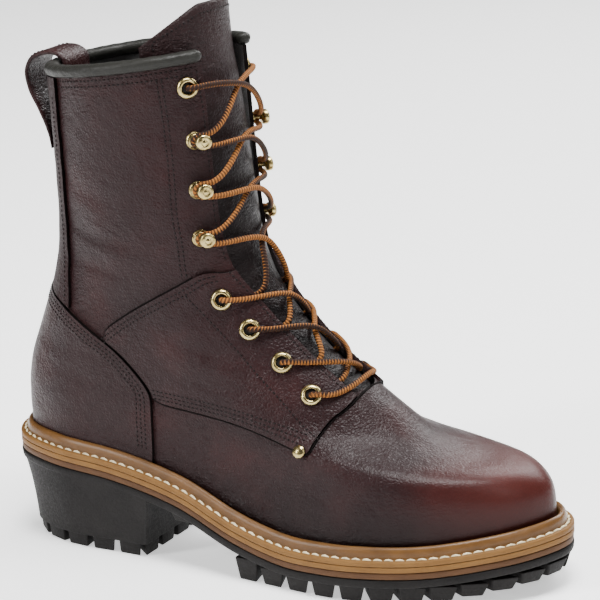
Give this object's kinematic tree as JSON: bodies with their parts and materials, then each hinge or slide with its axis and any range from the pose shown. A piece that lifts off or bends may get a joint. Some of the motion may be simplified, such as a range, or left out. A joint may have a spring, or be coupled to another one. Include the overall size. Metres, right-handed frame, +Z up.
{
  "type": "logger boot",
  "caption": "Right-foot logger boot, tall laced leather shaft on a tan storm welt and a lugged rubber sole with a high heel.",
  "frame": {"origin": "middle of the bounding box, on the floor under the sole", "axes": "+X towards the toe, +Y towards the inner side of the foot, +Z up"},
  "size_m": [0.31, 0.1085, 0.2899],
  "materials": {
    "rubber": "black moulded rubber, satin",
    "slip_leather": "dark brown edge-dressed sole leather",
    "tan_leather": "tan waxed sole leather with a grained edge",
    "insole_board": "plain leather insole",
    "leather": "dark red-brown tumbled leather, soft gloss",
    "padded_leather": "dark grey-green smooth padded roll",
    "brass": "antique brass",
    "lace": "braided round lace, orange-brown with dark flecks"
  },
  "bodies": {
    "root": {"outsole": "rubber", "heel": "rubber", "slip_sole": "slip_leather", "midsole": "tan_leather", "storm_welt": "tan_leather", "insole": "insole_board", "upper": "leather", "quarter_lateral": "leather", "quarter_medial": "leather", "heel_counter": "leather", "backstay": "leather", "pull_loop": "leather", "collar_binding": "padded_leather", "tongue": "leather", "hook_1_lateral": "brass", "hook_1_medial": "brass", "hook_2_lateral": "brass", "hook_2_medial": "brass", "hook_3_lateral": "brass", "hook_3_medial": "brass", "eyelet_1_lateral": "brass", "eyelet_1_medial": "brass", "eyelet_2_lateral": "brass", "eyelet_2_medial": "brass", "eyelet_3_lateral": "brass", "eyelet_3_medial": "brass", "eyelet_4_lateral": "brass", "eyelet_4_medial": "brass", "eyelet_5_lateral": "brass", "eyelet_5_medial": "brass", "rivet_lateral": "brass", "rivet_medial": "brass", "lace_bar": "lace", "lace_cross_1": "lace", "lace_cross_2": "lace", "lace_cross_3": "lace", "lace_cross_4": "lace", "lace_cross_5": "lace", "lace_cross_6": "lace", "lace_cross_7": "lace"}
  },
  "joints": []
}
